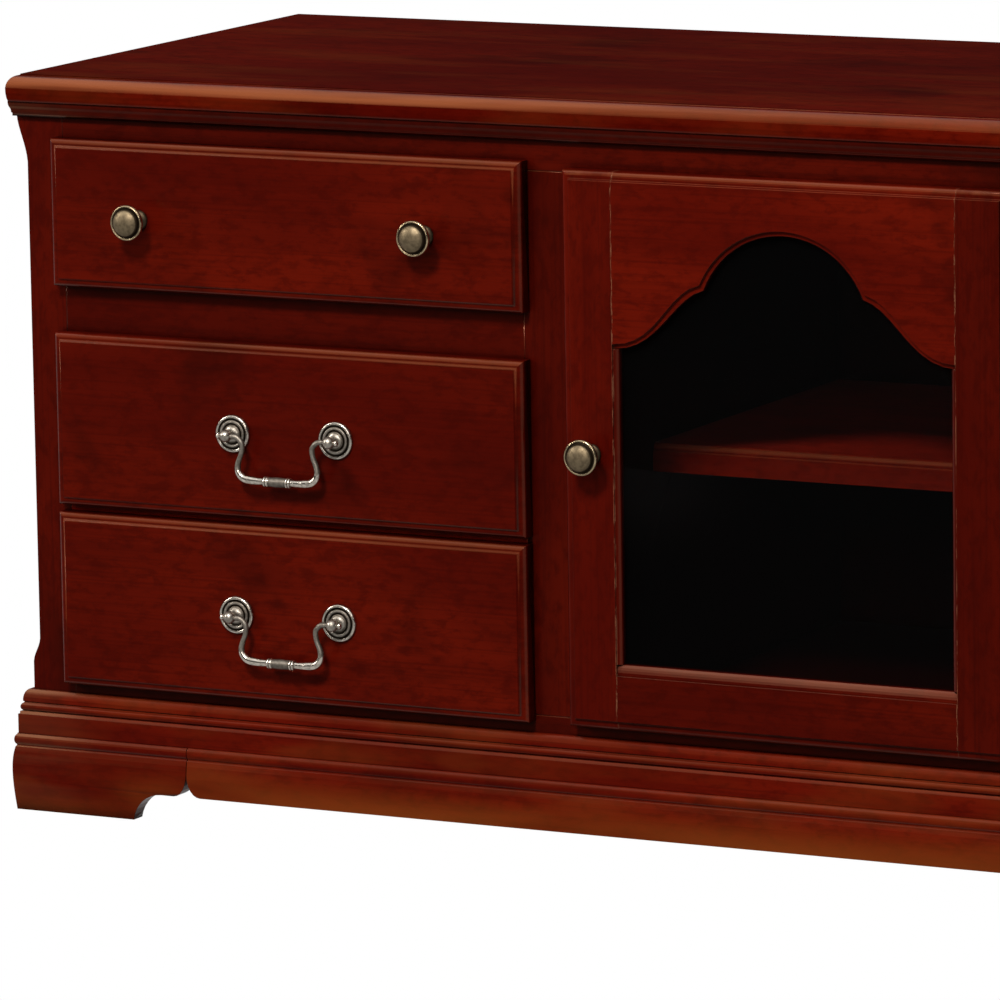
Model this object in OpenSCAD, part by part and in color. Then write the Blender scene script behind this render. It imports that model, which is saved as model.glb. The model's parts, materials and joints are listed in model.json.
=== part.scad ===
// Television stand in cherry: three drawers on each side of an arched glass door.
// X runs along the front, Y from front to back, Z up. The front faces -Y.

/* [Case] */
// Width across the corner stiles where they are narrow
case_w = 1484; // [1440:2:1600]
// Depth from the face frame to the back
case_d = 504; // [470:2:560]
// Thickness of side panels, partitions and bottom
panel_t = 16; // [14:1:20]
// Thickness of the face frame
frame_t = 20; // [18:1:24]
// Width of each corner stile
corner_stile_w = 36; // [32:1:44]
// Depth of each corner stile
corner_stile_d = 36; // [30:1:50]
// Width of each stile beside the door
inner_stile_w = 64; // [60:1:72]
// Clear width of the middle bay
media_w = 376; // [350:2:400]
// Thickness of the back panels
back_t = 5; // [4:1:8]

/* [Heights] */
// Height of the feet and aprons
foot_h = 69; // [60:1:76]
// Height of the moulding above the feet
base_mould_h = 39.5; // [36:0.5:44]
// Height of the bottom rail above that moulding
bottom_rail_h = 15; // [13:1:24]
// Height of the bottom drawer opening
low_open_h = 141; // [120:1:160]
// Height of the thin rail between the lower drawers
low_rail_h = 20.5; // [16:0.5:24]
// Height of the middle drawer opening
mid_open_h = 139.5; // [120:0.5:160]
// Height of the wide rail under the top drawer
wide_rail_h = 55.5; // [40:0.5:70]
// Height of the top drawer opening
top_open_h = 116.5; // [90:0.5:130]
// Height of the top rail
top_rail_h = 39.5; // [34:0.5:46]
// Height of the cornice moulding
cornice_h = 13; // [10:0.5:16]
// Thickness of the top panel
top_t = 24; // [20:1:28]

/* [Mouldings] */
// Reach of the top panel past the face frame
top_out = 12; // [10:0.5:16]
// Extra reach of the top panel at the sides
top_side_step = 2; // [1:0.5:6]
// Reach of the top panel past the back
top_back_out = 4; // [0:1:10]
// Reach of the cornice at its lower edge
cornice_out = 5.5; // [4:0.5:7]
// Extra reach of the cornice at the sides
cornice_side_step = 5.5; // [4:0.5:8]
// Reach of the base moulding at its flat band
base_out = 9.8; // [8:0.1:12]
// Reach of the bead on top of the feet
bead_out = 12.8; // [12:0.1:14.5]
// Reach of the feet at their bulge
foot_out = 14.8; // [14:0.1:17]
// Extra reach of base and feet at the sides
base_side_step = 9; // [6:0.5:11]
// Outward flare of the corner stiles at the top
flare_top_out = 10; // [4:0.5:12]
// Height of that flare
flare_top_h = 41; // [30:1:60]
// Outward flare of the corner stiles at the bottom
flare_low_out = 7; // [3:0.5:9]
// Height of that flare
flare_low_h = 21; // [14:1:40]
// Straight length of the corner stile under it
flare_low_rest = 25; // [15:1:40]

/* [Feet] */
// Width of a bracket foot on the floor
foot_w = 120; // [100:1:140]
// Distance from the corner to the joint with the apron
foot_joint = 175; // [166:1:200]
// Height of the apron above the floor
apron_z = 25; // [18:1:30]
// Radius of the arch beside a foot
foot_arch_r = 30; // [30:1:36]
// Width of the rounded corners at the joint
joint_r = 13; // [8:1:14]
// Height of the rounded corners at the joint
joint_rise = 20; // [12:1:24]
// Gap that shows as a line between a foot and the apron
joint_gap = 0.6; // [0.3:0.1:0.8]
// How far the foot boards reach under the case
foot_under = 3; // [2:1:8]
// Thickness of the rear foot brackets
rear_bracket_t = 18; // [14:1:24]
// Side of the corner glue blocks
glue_block = 40; // [30:1:50]

/* [Drawers] */
// Overlap of a drawer front on the frame
front_overlap = 5; // [4:0.5:8]
// How far the top edge of a drawer front reaches over its opening
front_top_overlap = 9; // [5:0.5:10]
// Thickness of the part of a front that stands proud
front_proud = 17.5; // [10:0.5:20]
// Gap between a closed front and the frame
front_gap = 0.5; // [0.4:0.1:0.8]
// Thickness of the part of a front inside the opening
front_tongue = 7; // [5:1:10]
// Clearance of a front inside its opening
tongue_clear = 2; // [1.5:0.5:2.5]
// Width of the moulded edge of fronts and door
edge_w = 8; // [5:0.5:11]
// Length of a drawer box
box_len = 430; // [360:5:440]
// Thickness of the drawer sides and backs
box_t = 12; // [10:1:15]
// Thickness of the drawer bottoms
box_bottom_t = 5; // [4:1:6]
// Height of the groove for a drawer bottom
box_groove_z = 8; // [6:1:14]
// Clearance of a drawer bottom in its groove
groove_clear = 0.2; // [0.1:0.05:0.4]
// Clearance beside a drawer box in its opening
box_clear = 3; // [2.5:0.5:5]
// Space above a drawer box in its opening
box_headroom = 14; // [8:1:30]
// Height of a runner under a drawer
runner_h = 16; // [12:1:16]
// Width of the runner's track inside the opening
runner_track = 15; // [12:1:20]
// Height of the guide beside a drawer
guide_h = 18; // [12:1:30]
// Running gap under a drawer box
runner_gap = 0.3; // [0.2:0.1:0.5]
// Running gap beside a drawer box
guide_gap = 0.5; // [0.4:0.1:0.8]

/* [Door] */
// Overlap of the door on the stiles
door_side_overlap = 19; // [8:0.5:22]
// Overlap of the door on the top rail
door_top_overlap = 4.5; // [3:0.5:8]
// Overlap of the door on the bottom rail
door_low_overlap = 4; // [3:0.5:8]
// Thickness of the door
door_t = 18; // [17:1:22]
// Gap between the closed door and the frame
door_gap = 1.6; // [1.5:0.1:2.5]
// Width of the door stiles
door_stile_w = 48; // [36:1:56]
// Height of the door's bottom rail
door_rail_h = 57.5; // [45:0.5:70]
// Height of the arched rail above the crown of the arch
door_crown_h = 47; // [36:1:60]
// Rise of the arch from the stiles to its crown
arch_rise = 104; // [90:1:120]
// Rise of the round part of the arch
arch_round_rise = 50; // [40:1:56]
// Half width of the round part of the arch
arch_round_w = 74; // [60:1:90]
// Width of the bead along the arch
arch_bead = 4; // [2:0.5:5]
// Width of the rounded bead along the inner edge of each door stile
stile_bead = 5; // [3:0.5:7]
// Thickness of the glass
glass_t = 4; // [3:1:5]
// Width of the rebate for the glass
rebate_w = 8; // [6:1:10]
// Depth of the rebate from the back of the door
rebate_d = 9; // [8:0.5:10]
// Clearance round the glass
glass_clear = 1; // [0.5:0.5:2]

/* [Hinges] */
// Radius of a hinge knuckle
knuckle_r = 3; // [2.5:0.1:3.2]
// Radius of a hinge pin
hinge_pin_r = 1.2; // [1:0.1:1.4]
// Radial running clearance of the hinge and handle pins
pin_clear = 0.05; // [0.03:0.01:0.08]
// Length of a hinge
hinge_len = 50; // [40:1:60]
// Distance from a door corner to the middle of a hinge
hinge_inset = 75; // [50:1:110]
// Thickness of a hinge leaf
leaf_t = 1.3; // [1:0.1:1.3]
// Gap between knuckles and beside the door edge
knuckle_gap = 0.3; // [0.2:0.05:0.5]

/* [Shelf] */
// Height of the shelf's top above the bay floor
shelf_up = 224; // [150:1:300]
// Thickness of the shelf
shelf_t = 25; // [20:1:28]
// Distance from the face frame to the shelf
shelf_back = 113; // [60:1:150]
// Clearance at each end of the shelf
shelf_clear = 1; // [0.5:0.5:2]
// Radius of a shelf pin
shelf_pin_r = 2.5; // [2:0.5:4]
// Radius of the cable holes in the back
cable_r = 28; // [20:1:35]

/* [Handles] */
// Diameter of the knobs
knob_dia = 31.5; // [28:0.5:38]
// Length of the knobs
knob_len = 29; // [22:1:32]
// Distance between the knobs of a top drawer
knob_spacing = 282; // [220:2:300]
// Distance from the door's edge to its knob
door_knob_in = 27.5; // [18:0.5:34]
// Height of the door knob above the bottom edge of the door
door_knob_up = 239; // [150:1:320]
// Distance between the posts of a bail handle
bail_span = 102; // [96:1:128]
// Drop of a bail handle below its posts
bail_drop = 38; // [34:1:52]
// Radius of a rosette
rosette_r = 16.5; // [15:0.5:19]
// Distance from the drawer front to the axis of the bail
bail_axis_out = 14; // [13:0.5:18]
// Radius of a bail pivot
bail_pin_r = 1.8; // [1.5:0.1:2.2]

/* [Hidden] */
$fn = 48;

cherry = "#5a120c";
cherry_dark = "#43100a";
inner_wood = "#8a5a3c";
ply = "#b48a5f";
pewter = "#7d7567";
steel = "#8c8c8c";

// Heights of the rails and openings, from the floor up
base_top = foot_h + base_mould_h;
low_z = base_top + bottom_rail_h;
low_top = low_z + low_open_h;
mid_z = low_top + low_rail_h;
mid_top = mid_z + mid_open_h;
up_z = mid_top + wide_rail_h;
up_top = up_z + top_open_h;
case_top = up_top + top_rail_h;

// Widths from the middle of the front
half_case = case_w / 2;
bay_in = media_w / 2;
open_in = bay_in + inner_stile_w;
open_out = half_case - corner_stile_w;
open_mid = (open_in + open_out) / 2;
open_w = open_out - open_in;
wall_in = half_case - panel_t;
partition_out = bay_in + panel_t;
back_y = case_d - back_t;

// Drawer levels: bottom of the opening and its height
levels = [[low_z, low_open_h], [mid_z, mid_open_h], [up_z, top_open_h]];
bottom_level = 0;
middle_level = 1;
top_level = 2;

// Door planes and edges
door_half = bay_in + door_side_overlap;
door_z = low_z - door_low_overlap;
door_top = up_top + door_top_overlap;
door_back = -door_gap;
door_face = -(door_gap + door_t);
stile_in = door_half - door_stile_w;
rebate_y = door_back - rebate_d;
rail_top = door_z + door_rail_h;
crown_z = door_top - door_crown_h;
spring_z = crown_z - arch_rise;
cusp_z = crown_z - arch_round_rise;
round_r = (arch_round_w * arch_round_w + arch_round_rise * arch_round_rise) / (2 * arch_round_rise);
rebate_top = crown_z + rebate_w + arch_bead;

// Hinge axis and heights
hinge_x = door_half + knuckle_r + knuckle_gap;
hinge_y = -(knuckle_r + front_gap);
hinge_zs = [door_z + hinge_inset, door_top - hinge_inset];
leaf_w = 14;
knuckle_len = (hinge_len - 2 * knuckle_gap) / 3;

// Front-most point is the tip of the door knob, and the origin is the middle of the whole depth
front_reach = max(-door_face + knob_len, front_gap + front_proud + knob_len);
face_y = (front_reach - case_d - top_back_out) / 2;

// Curves as lists of points

function arc(c, rx, ry, a0, a1, n) =
    [for (i = [0:n]) let (a = a0 + (a1 - a0) * i / n) c + [rx * cos(a), ry * sin(a)]];

function bezier(a, b, c, d, n) =
    [for (i = [0:n]) let (t = i / n, u = 1 - t)
        u * u * u * a + 3 * u * u * t * b + 3 * u * t * t * c + t * t * t * d];

function mirrored(points) = [for (i = [len(points) - 1:-1:0]) [-points[i][0], points[i][1]]];

// Extrusions along each axis: along_x takes (y, z) outlines and along_y takes (x, z) outlines

module along_x(x0, x1) { translate([x0, 0, 0]) rotate([90, 0, 90]) linear_extrude(x1 - x0) children(); }

module along_y(y0, y1) { translate([0, y1, 0]) rotate([90, 0, 0]) linear_extrude(y1 - y0) children(); }

module along_z(z0, z1) { translate([0, 0, z0]) linear_extrude(z1 - z0) children(); }

module block(x0, x1, y0, y1, z0, z1) { translate([x0, y0, z0]) cube([x1 - x0, y1 - y0, z1 - z0]); }

// Puts the face frame's front at its place, with the left side made as a mirror of the right

module placed() { translate([0, face_y, 0]) children(); }

module on_side(s) { translate([0, face_y, 0]) mirror([s < 0 ? 1 : 0, 0, 0]) children(); }

// Profiles of the mouldings: reach from the case against height

function top_edge(out) = concat(
    arc([out - 2.2, top_t / 2], 2.2, top_t / 2, -90, 0, 5),
    arc([out - 9, top_t / 2 - 1], 9, top_t / 2 - 0.2, 8, 90, 8),
    [[out - 10, top_t - 1.2], [out - 10, top_t]]);

function cornice_edge() = concat(
    [[cornice_out, 0], [cornice_out, 2.5]],
    bezier([cornice_out + 0.8, 3], [cornice_out + 0.8, 8], [cornice_out + 3, 7], [cornice_out + 3, cornice_h], 6));

function base_edge() = let (h = base_mould_h) concat(
    [[base_out, 0], [base_out, h - 22.2], [base_out - 1.3, h - 22.2]],
    [[base_out - 1.3, h - 19.8], [base_out - 3.2, h - 19.5]],
    arc([base_out - 4.4, h - 15.8], 2.8, 3.5, -75, 75, 6),
    [[base_out - 4.6, h - 11.5], [base_out - 3.6, h - 11]],
    arc([base_out - 8.8, h - 10], 5.4, 10, 0, 90, 6));

function foot_edge() = concat(
    bezier([foot_out - 3, 0], [foot_out + 0.4, 30], [foot_out + 0.4, 46], [bead_out - 0.8, foot_h - 12], 8),
    [[bead_out - 1.8, foot_h - 11]],
    arc([bead_out - 2.6, foot_h - 5.6], 2.6, 4.8, -70, 80, 7),
    [[bead_out - 2.2, foot_h]]);

// Top and cornice

module top_panel() {
    half = half_case + top_side_step;
    edge = top_edge(top_out);
    side = [for (p = edge) [half + p[0], p[1]]];
    front = [for (p = edge) [-p[0], p[1]]];
    color(cherry) placed() translate([0, 0, case_top]) intersection() {
        along_y(-top_out, case_d + top_back_out) polygon(concat(side, mirrored(side)));
        along_x(-half - top_out, half + top_out)
            polygon(concat(front, [[case_d + top_back_out, top_t], [case_d + top_back_out, 0]]));
    }
}

module cornice_moulding() {
    half = half_case + cornice_side_step;
    color(cherry) placed() translate([0, 0, case_top - cornice_h])
        wrapped(cornice_edge(), half, cornice_out + 3, cornice_h);
}

// A moulding round the front and both sides, mitred at the front corners
module wrapped(edge, half, reach, h) {
    side = [for (p = edge) [half + p[0], p[1]]];
    difference() {
        intersection() {
            along_y(-reach, case_d) polygon(concat(side, mirrored(side)));
            along_x(-half - reach, half + reach)
                polygon(concat([for (p = edge) [-p[0], p[1]]], [[case_d, h], [case_d, 0]]));
        }
        block(-half_case, half_case, 0, 2 * case_d, -h, 2 * h);
    }
}

// Case

module side_panel(s) {
    color(cherry_dark) on_side(s) block(wall_in, half_case, corner_stile_d, case_d, foot_h, case_top);
}

module corner_stile(s) {
    flare_z = case_top - cornice_h;
    rest_z = base_top + flare_low_rest;
    top_flare = bezier([flare_top_out, 0], [flare_top_out - 1, -flare_top_h * 0.3],
        [1.5, -flare_top_h * 0.6], [0, -flare_top_h], 8);
    low_flare = bezier([0, flare_low_h], [0.8, flare_low_h * 0.6],
        [flare_low_out - 1, flare_low_h * 0.4], [flare_low_out, 0], 6);
    color(cherry) on_side(s) along_y(0, corner_stile_d) polygon(concat(
        [[open_out, foot_h], [open_out, case_top], [half_case, case_top], [half_case, flare_z]],
        [for (p = top_flare) [half_case + p[0], flare_z + p[1]]],
        [for (p = low_flare) [half_case + p[0], rest_z + p[1]]],
        [[half_case + flare_low_out, base_top], [half_case, base_top], [half_case, foot_h]]));
}

module inner_stile(s) {
    color(cherry) on_side(s) block(bay_in, open_in, 0, frame_t, low_z, up_top);
}

module top_rail() {
    color(cherry) placed() block(-open_out, open_out, 0, frame_t, up_top, case_top);
}

module bottom_rail() {
    color(cherry) placed() block(-open_out, open_out, 0, frame_t, foot_h, low_z);
}

module drawer_rails(s) {
    color(cherry) on_side(s) {
        block(open_in, open_out, 0, frame_t, low_top, mid_z);
        block(open_in, open_out, 0, frame_t, mid_top, up_z);
    }
}

module partition(s) {
    color(cherry_dark) on_side(s) difference() {
        block(bay_in, partition_out, frame_t, back_y, low_z, case_top);
        shelf_pin_places() rotate([0, 90, 0])
            cylinder(r = shelf_pin_r + pin_clear, h = 2 * shelf_pin_depth, center = true);
    }
}

module bottom_panel() {
    color(cherry_dark) placed() along_z(low_z - panel_t, low_z) polygon([[-open_out, frame_t], [open_out, frame_t],
        [open_out, corner_stile_d], [wall_in, corner_stile_d], [wall_in, back_y],
        [-wall_in, back_y], [-wall_in, corner_stile_d], [-open_out, corner_stile_d]]);
}

module outer_back_panels() {
    color(ply) placed() for (s = [0, 1]) mirror([s, 0, 0])
        block(partition_out - panel_t / 2, wall_in, back_y, case_d, low_z - panel_t, case_top);
}

module media_back_panel() {
    half = partition_out - panel_t / 2;
    color(ply) placed() difference() {
        block(-half, half, back_y, case_d, low_z - panel_t, case_top);
        for (z = [low_z + shelf_up / 2, (shelf_top + up_top) / 2])
            translate([0, case_d, z]) rotate([90, 0, 0]) cylinder(r = cable_r, h = 4 * back_t, center = true);
    }
}

// Shelf on four pins

shelf_top = low_z + shelf_up;
shelf_z = shelf_top - shelf_t;
shelf_pin_depth = 10;
shelf_pin_out = 9;

module shelf_pin_places() {
    for (y = [shelf_back + 40, back_y - 60]) translate([bay_in, y, shelf_z - shelf_pin_r]) children();
}

module shelf() {
    edge = concat([[shelf_back, shelf_z], [shelf_back, shelf_top - 7], [shelf_back + 1.5, shelf_top - 6]],
        arc([shelf_back + 5.5, shelf_top - 5], 4, 5, 180, 90, 5));
    color(cherry_dark) placed() along_x(-bay_in + shelf_clear, bay_in - shelf_clear)
        polygon(concat(edge, [[back_y - shelf_clear, shelf_top], [back_y - shelf_clear, shelf_z]]));
}

module shelf_pins() {
    color(steel) placed() for (s = [0, 1]) mirror([s, 0, 0]) shelf_pin_places() rotate([0, 90, 0])
        translate([0, 0, -shelf_pin_out]) cylinder(r = shelf_pin_r, h = shelf_pin_out + shelf_pin_depth);
}

// Base moulding, feet and aprons

base_half = half_case + base_side_step;
side_under = base_side_step + foot_under;
foot_corner = base_half + foot_out - 3;

module base_moulding() {
    color(cherry) placed() translate([0, 0, foot_h]) wrapped(base_edge(), base_half, base_out, base_mould_h);
}

// Outline of a bracket foot seen square on, measured inwards from the corner
function foot_outline() =
    let (drop = foot_arch_r - apron_z, arch_x = foot_w + sqrt(foot_arch_r * foot_arch_r - drop * drop))
    concat([[-2 * foot_out, 0], [foot_w, 0]],
        arc([arch_x, -drop], foot_arch_r, foot_arch_r, 180 - asin(drop / foot_arch_r), 90, 8),
        arc([foot_joint - joint_r, apron_z + joint_rise], joint_r, joint_rise, -90, 0, 6),
        [[foot_joint, foot_h], [-2 * foot_out, foot_h]]);

// Outline of an apron between two joints
function apron_outline(a, b) = let (x0 = a + joint_gap, x1 = b - joint_gap) concat(
    [[x0, foot_h]], arc([x0 + joint_r, apron_z + joint_rise], joint_r, joint_rise, 180, 270, 6),
    arc([x1 - joint_r, apron_z + joint_rise], joint_r, joint_rise, -90, 0, 6), [[x1, foot_h]]);

module front_board(under) {
    along_x(-base_half - foot_out, base_half + foot_out)
        polygon(concat([for (p = foot_edge()) [-p[0], p[1]]], [[under, foot_h], [under, 0]]));
}

module side_board(y0, y1) {
    along_y(y0, y1) polygon(concat(
        [for (p = foot_edge()) [base_half + p[0], p[1]]],
        [[base_half - side_under, foot_h], [base_half - side_under, 0]]));
}

// Side boards are outlined with the distance back from the front corner
module side_outline(points) {
    along_x(foot_corner - 2 * foot_joint, foot_corner + foot_out)
        polygon([for (p = points) [p[0] - foot_out + 3, p[1]]]);
}

// Both boards of a front foot in one, with the mitre where their faces meet
module front_foot(s) {
    points = foot_outline();
    color(cherry) on_side(s) difference() {
        intersection() {
            front_board(foot_joint);
            along_y(-foot_out, foot_joint) polygon(concat([for (p = foot_edge()) [base_half + p[0], p[1]]],
                [[foot_corner - foot_joint, foot_h], [foot_corner - foot_joint, 0]]));
            along_y(-foot_h, foot_joint) polygon([for (p = points) [foot_corner - p[0], p[1]]]);
            side_outline(points);
        }
        block(0, base_half - side_under, foot_under, case_d, -foot_h, 2 * foot_h);
    }
}

module front_apron() {
    color(cherry) placed() intersection() {
        front_board(foot_under);
        along_y(-foot_h, foot_h) polygon(apron_outline(foot_joint - foot_corner, foot_corner - foot_joint));
    }
}

// The side foot at the back is the front one turned round, so its joint lies as far from the back
rear_joint_y = case_d - foot_joint + foot_out - 3;

module side_aprons() {
    color(cherry) placed() for (s = [0, 1]) mirror([s, 0, 0]) intersection() {
        side_board(0, case_d);
        side_outline(apron_outline(foot_joint, rear_joint_y + foot_out - 3));
    }
}

module rear_feet() {
    points = foot_outline();
    color(cherry_dark) placed() for (s = [0, 1]) mirror([s, 0, 0]) {
        intersection() {
            side_board(0, case_d);
            along_x(half_case - foot_h, half_case + foot_h)
                polygon([for (p = points) [rear_joint_y + foot_joint - p[0], p[1]]]);
        }
        block(base_half - side_under - foot_w + foot_out, base_half - side_under,
            case_d - rear_bracket_t, case_d, 0, foot_h);
    }
}

module foot_blocks() {
    x = base_half - side_under;
    color(inner_wood) placed() for (s = [0, 1]) mirror([s, 0, 0]) {
        along_z(6, foot_h) polygon([[x, side_under], [x, foot_under + glue_block],
            [x - glue_block, foot_under], [base_half - side_under - base_side_step, foot_under]]);
        along_z(6, foot_h) polygon([[x, case_d - rear_bracket_t], [x, case_d - rear_bracket_t - glue_block],
            [x - glue_block, case_d - rear_bracket_t]]);
    }
}

// Drawer runners: an L section on each wall of a drawer bay. The lowest drawer slides on the bottom
// panel, so it has guides alone.

module drawer_runners(s) {
    side_in = open_in + box_clear - guide_gap;
    side_out = open_out - box_clear + guide_gap;
    color(inner_wood) on_side(s) {
        along_y(frame_t, back_y) guide_outline(low_z, partition_out, side_in);
        along_y(corner_stile_d, back_y) guide_outline(low_z, wall_in, side_out);
        for (z = [mid_z, up_z]) {
            along_y(frame_t, back_y) runner_outline(z, partition_out, side_in, open_in + runner_track);
            along_y(corner_stile_d, back_y) runner_outline(z, wall_in, side_out, open_out - runner_track);
        }
    }
}

module guide_outline(z, wall, side) {
    polygon([[wall, z], [side, z], [side, z + guide_h], [wall, z + guide_h]]);
}

module runner_outline(z, wall, side, track) {
    polygon([[wall, z - runner_h], [track, z - runner_h], [track, z + runner_lift],
        [side, z + runner_lift], [side, z + guide_h], [wall, z + guide_h]]);
}

// Drawers

box_lift = 1;
runner_lift = box_lift - runner_gap;
front_y = -(front_gap + front_proud);
box_y = front_tongue - front_gap;

// Moulded edge of fronts and door: distance in from the edge against depth behind the face
function edge_profile(t) = concat(
    [[0, t]], arc([0.6 * edge_w, 0.85 * edge_w], 0.6 * edge_w, 0.5 * edge_w, 180, 270, 5),
    [[0.85 * edge_w, 0.35 * edge_w], [edge_w, 0]]);

// A board with a moulded edge all round, with its face at y0 and its back at y0 + t
module moulded_board(x0, x1, z0, z1, y0, t) {
    edge = edge_profile(t);
    flip = [for (i = [len(edge) - 1:-1:0]) edge[i]];
    intersection() {
        along_z(z0, z1) polygon(concat([for (p = edge) [x0 + p[0], y0 + p[1]]],
            [for (p = flip) [x1 - p[0], y0 + p[1]]]));
        along_x(x0, x1) polygon(concat([for (p = edge) [y0 + p[1], z0 + p[0]]],
            [for (p = flip) [y0 + p[1], z1 - p[0]]]));
    }
}

module drawer_front(s, k) {
    z0 = levels[k][0];
    z1 = z0 + levels[k][1];
    color(cherry) on_side(s) {
        moulded_board(open_in - front_overlap, open_out + front_overlap,
            z0 - front_overlap, z1 + front_top_overlap, front_y, front_proud);
        block(open_in + tongue_clear, open_out - tongue_clear, -front_gap, box_y,
            z0 + tongue_clear, z1 - tongue_clear);
    }
}

module drawer_box(s, k) {
    x0 = open_in + box_clear;
    x1 = open_out - box_clear;
    z0 = levels[k][0] + box_lift;
    z1 = levels[k][0] + levels[k][1] - box_headroom;
    y1 = box_y + box_len;
    slot = box_t / 2;
    groove_z = z0 + box_groove_z;
    color(inner_wood) on_side(s) {
        difference() {
            union() {
                block(x0, x0 + box_t, box_y, y1, z0, z1);
                block(x1 - box_t, x1, box_y, y1, z0, z1);
                block(x0 + box_t, x1 - box_t, y1 - box_t, y1, z0, z1);
            }
            block(x0 + slot, x1 - slot, box_y - 1, y1 - slot, groove_z, groove_z + box_bottom_t + groove_clear);
        }
        block(x0 + slot + groove_clear, x1 - slot - groove_clear, box_y, y1 - slot - groove_clear,
            groove_z + groove_clear / 2, groove_z + groove_clear / 2 + box_bottom_t);
    }
}

// Knobs: a waisted stem, a ringed rim and a domed head

module knob() {
    r = knob_dia / 2;
    head = 0.79 * knob_len;
    rotate([90, 0, 0]) rotate_extrude() polygon(concat(
        [[0, 0], [0.55 * r, 0], [0.55 * r, 0.06 * knob_len], [0.4 * r, 0.12 * knob_len]],
        bezier([0.34 * r, 0.15 * knob_len], [0.26 * r, 0.4 * knob_len], [0.5 * r, 0.56 * knob_len],
            [0.86 * r, 0.64 * knob_len], 6),
        arc([0.9 * r, 0.93 * head], 0.1 * r, 0.1 * head, -60, 90, 5),
        [[0.83 * r, 0.98 * head], [0.79 * r, 0.98 * head]],
        arc([0, 1.03 * head], 0.77 * r, knob_len - 1.03 * head, 0, 90, 8)));
}

module drawer_knobs(s) {
    color(pewter) on_side(s) for (d = [-1, 1])
        translate([open_mid + d * knob_spacing / 2, front_y, up_z + top_open_h / 2]) knob();
}

module door_knob() {
    color(pewter) placed() translate([door_knob_in - door_half, door_face, door_z + door_knob_up]) knob();
}

// Bail handles: two ringed rosettes with ball posts and a swan-neck bail that swings in them

bail_y = front_y - bail_axis_out;
post_r = 5.5;

module rosette() {
    r = rosette_r;
    difference() {
        rotate([90, 0, 0]) rotate_extrude() polygon(concat(
            [[0, 0], [r, 0]], arc([r - 1.6, 1.4], 1.6, 1.6, 0, 180, 6),
            [[r - 4, 1]], arc([r - 5.6, 1.8], 1.6, 1.6, 10, 170, 6),
            [[r - 8, 1.6]], bezier([r - 8.6, 3], [4.4, 4], [3.4, 5], [3.2, bail_axis_out - post_r], 5),
            arc([0, bail_axis_out], post_r, post_r, -50, 90, 8)));
        translate([0, -bail_axis_out, 0]) rotate([0, 90, 0])
            cylinder(r = bail_pin_r + pin_clear, h = 4 * post_r, center = true);
    }
}

module rosettes(s, k) {
    color(pewter) on_side(s) for (d = [-1, 1])
        translate([open_mid + d * bail_span / 2, front_y, levels[k][0] + levels[k][1] / 2]) rosette();
}

// Path of one arm from inside its post down to the grip, with the arm's radius at each point
neck_x = bail_span / 2 - 16.5;
swell_x = bail_span / 2 - 11.5;
grip_half = 13.5;

function smooth(p, t) =
    let (n = len(p) - 1, i = min(floor(t), n - 1), u = t - i,
        a = p[max(i - 1, 0)], b = p[i], c = p[i + 1], d = p[min(i + 2, n)])
    0.5 * (2 * b + (c - a) * u + (2 * a - 5 * b + 4 * c - d) * u * u + (3 * b - a - 3 * c + d) * u * u * u);

arm_path = [
    [bail_span / 2 - post_r - 0.6, 0, 2.5], [bail_span / 2 - 11, -0.6, 2.4],
    [neck_x + 1.5, -4, 2.4], [neck_x, -bail_drop * 0.2, 2.3],
    [neck_x + 1, -bail_drop * 0.38, 2.3], [swell_x - 1.2, -bail_drop * 0.56, 2.4],
    [swell_x, -bail_drop * 0.72, 2.7], [swell_x - 1.6, -bail_drop * 0.86, 3.3],
    [swell_x - 6, -bail_drop * 0.96, 3.6], [swell_x - 12.5, -bail_drop * 0.99, 3.8],
    [grip_half + 6, -bail_drop, 3.3], [grip_half - 1, -bail_drop, 3]
];
arm_steps = 3;
arm_sides = 10;

module bail_arm() {
    count = (len(arm_path) - 1) * arm_steps;
    path = [for (i = [0:count]) smooth(arm_path, i / arm_steps)];
    rings = [for (i = [0:count])
        let (a = path[max(i - 1, 0)], b = path[min(i + 1, count)], dx = b[0] - a[0], dz = b[1] - a[1],
            l = sqrt(dx * dx + dz * dz), q = path[i])
        [for (k = [0:arm_sides - 1]) let (w = 360 * k / arm_sides)
            [q[0] + q[2] * cos(w) * dz / l, q[2] * sin(w), q[1] - q[2] * cos(w) * dx / l]]];
    points = [for (ring = rings) for (p = ring) p];
    walls = [for (i = [0:count - 1]) for (k = [0:arm_sides - 1])
        let (m = (k + 1) % arm_sides, a = i * arm_sides, b = a + arm_sides)
        each [[a + k, b + m, a + m], [a + k, b + k, b + m]]];
    first = [for (k = [0:arm_sides - 1]) k];
    last = [for (k = [arm_sides - 1:-1:0]) count * arm_sides + k];
    polyhedron(points, concat(walls, [first, last]));
}

module bail(s, k) {
    tip = bail_span / 2 + post_r;
    color(pewter) on_side(s) translate([open_mid, bail_y, levels[k][0] + levels[k][1] / 2]) {
        for (m = [0, 1]) mirror([m, 0, 0]) {
            bail_arm();
            translate([bail_span / 2 - post_r - 2, 0, 0]) rotate([0, 90, 0])
                cylinder(r = bail_pin_r, h = 2 * post_r + 4);
            translate([tip + 1.8, 0, 0]) rotate([0, 90, 0]) rotate_extrude()
                polygon(arc([0, 0], 2.8, 2, -90, 90, 8));
        }
        translate([0, 0, -bail_drop]) rotate([0, 90, 0]) rotate_extrude() polygon(grip_outline());
    }
}

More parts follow.
